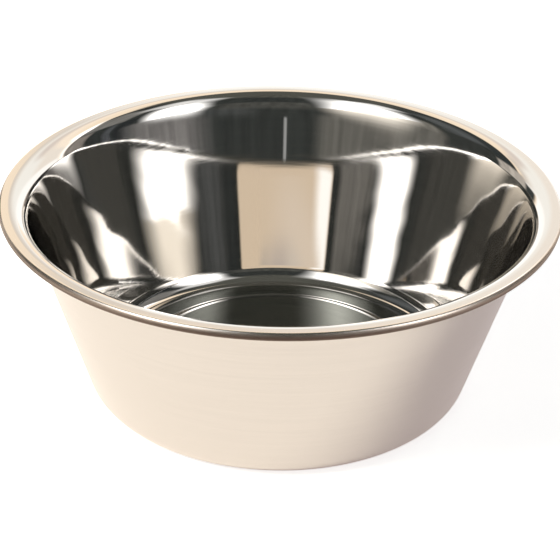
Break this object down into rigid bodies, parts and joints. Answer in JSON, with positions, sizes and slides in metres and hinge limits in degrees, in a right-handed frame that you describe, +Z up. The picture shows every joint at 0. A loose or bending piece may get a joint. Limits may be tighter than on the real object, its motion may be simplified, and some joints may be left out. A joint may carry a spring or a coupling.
{
  "type": "feeding bowl",
  "caption": "Round stainless steel feeding bowl with leaning walls, a flared rim rolled over a wire, and a raised panel in its base.",
  "frame": {"origin": "centre of the plane that the resting ring stands on, at the bottom of the bowl", "axes": "+Z up the bowl's centre line, -Y towards the picture's viewer, +Y towards the joint in the rim wire"},
  "size_m": [0.24, 0.24, 0.09],
  "materials": {
    "stainless_sheet": "mirror-polished inside and over the rim, satin outside",
    "steel_wire": "drawn wire, plain"
  },
  "bodies": {
    "root": {"bowl_shell": "stainless_sheet", "rim_wire": "steel_wire"}
  },
  "joints": []
}
